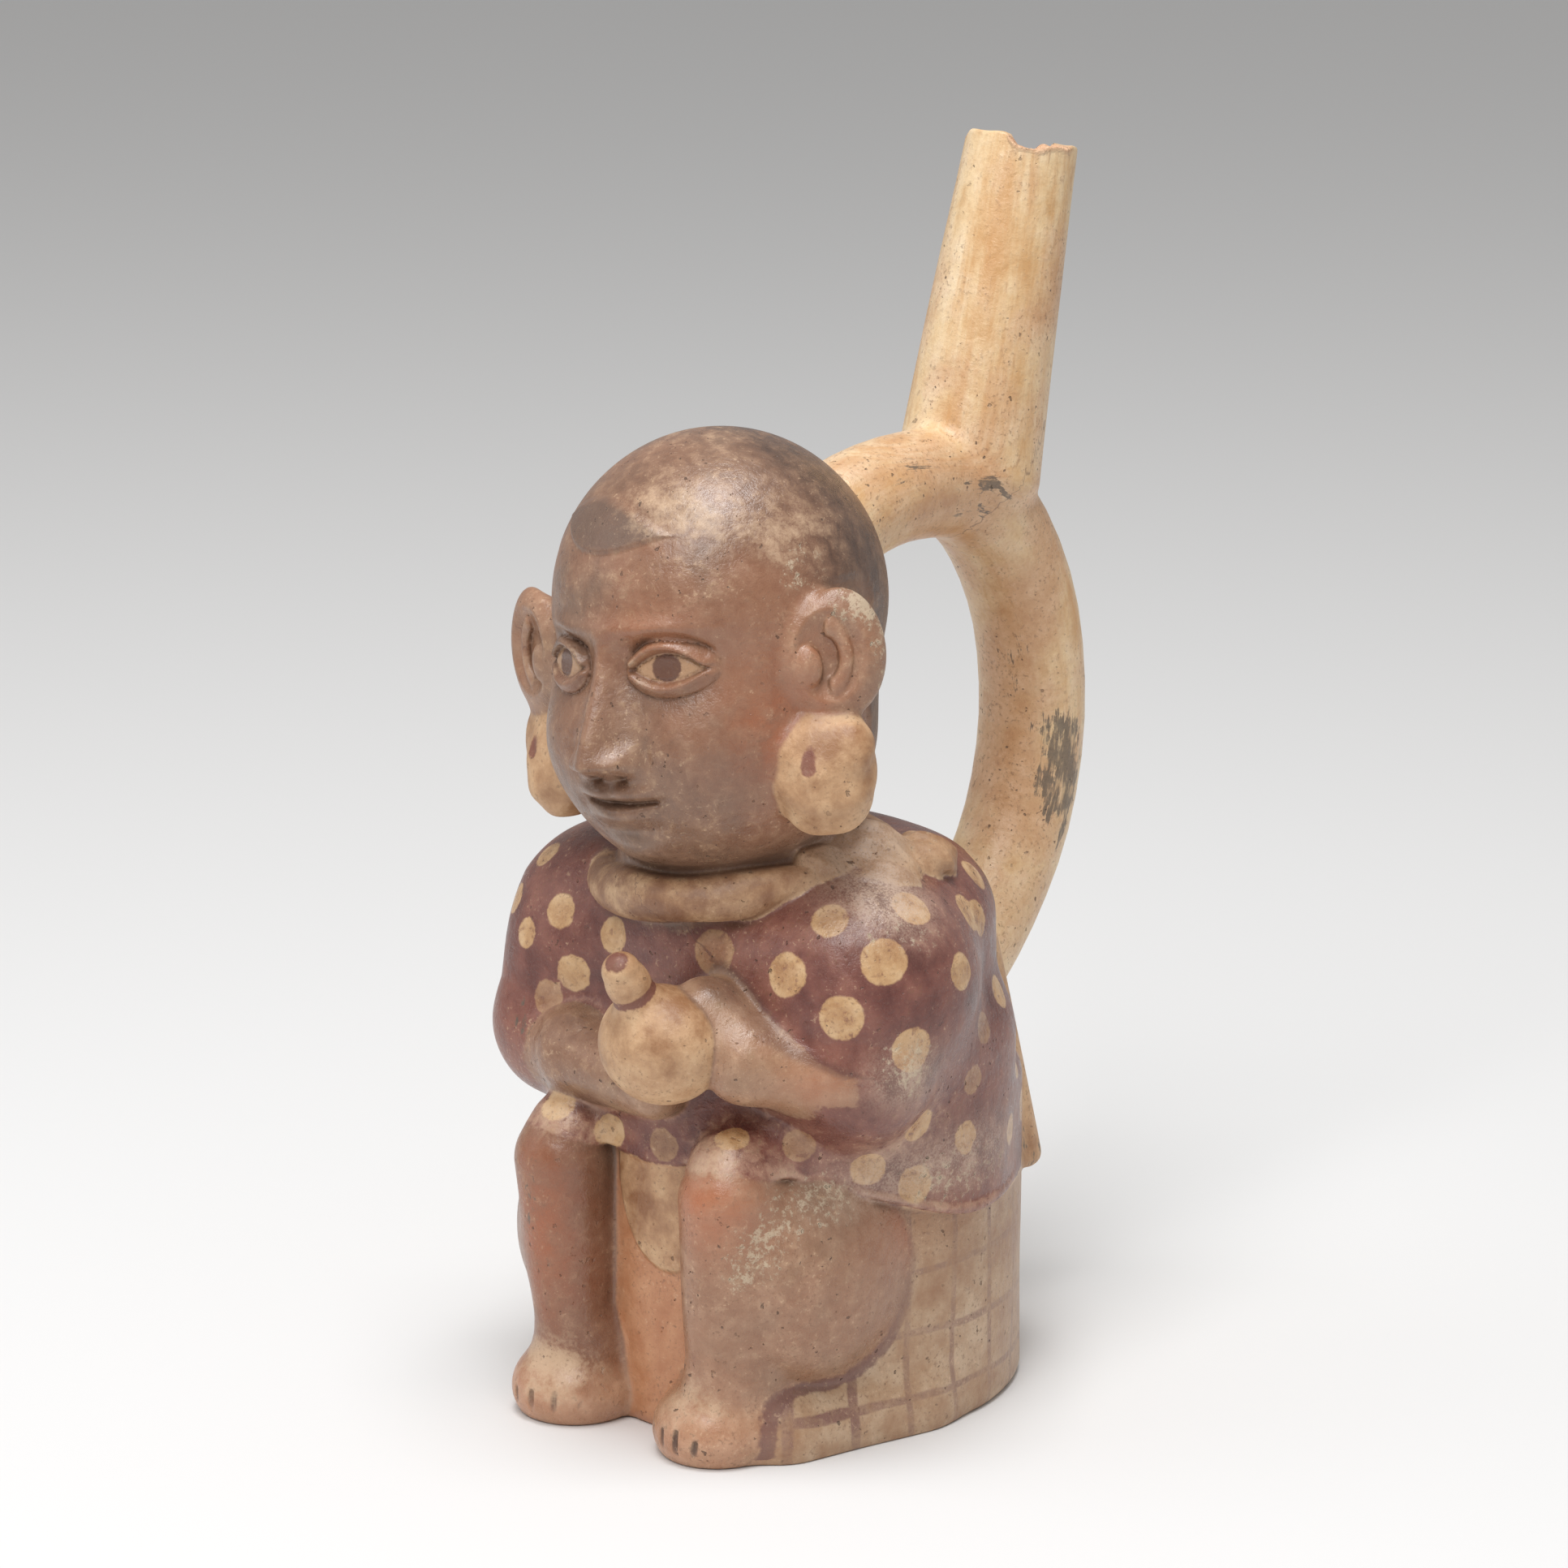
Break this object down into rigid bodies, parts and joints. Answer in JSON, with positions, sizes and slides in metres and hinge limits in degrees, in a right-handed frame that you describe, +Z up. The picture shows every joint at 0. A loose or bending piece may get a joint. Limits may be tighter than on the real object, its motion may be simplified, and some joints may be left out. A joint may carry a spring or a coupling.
{
  "type": "stirrup spout vessel",
  "caption": "Hollow fired-clay vessel in the form of a seated figure holding a gourd, with a stirrup handle and a leaning spout behind.",
  "frame": {"origin": "middle of the flat underside, on the surface that the vessel stands on", "axes": "+Z up, the figure looks along -Y, +X to the figure's left"},
  "size_m": [0.0906, 0.1335, 0.2142],
  "materials": {
    "burnished_clay": "burnished slip over red clay, worn matt in places"
  },
  "bodies": {
    "root": {"vessel": "burnished_clay"}
  },
  "joints": []
}
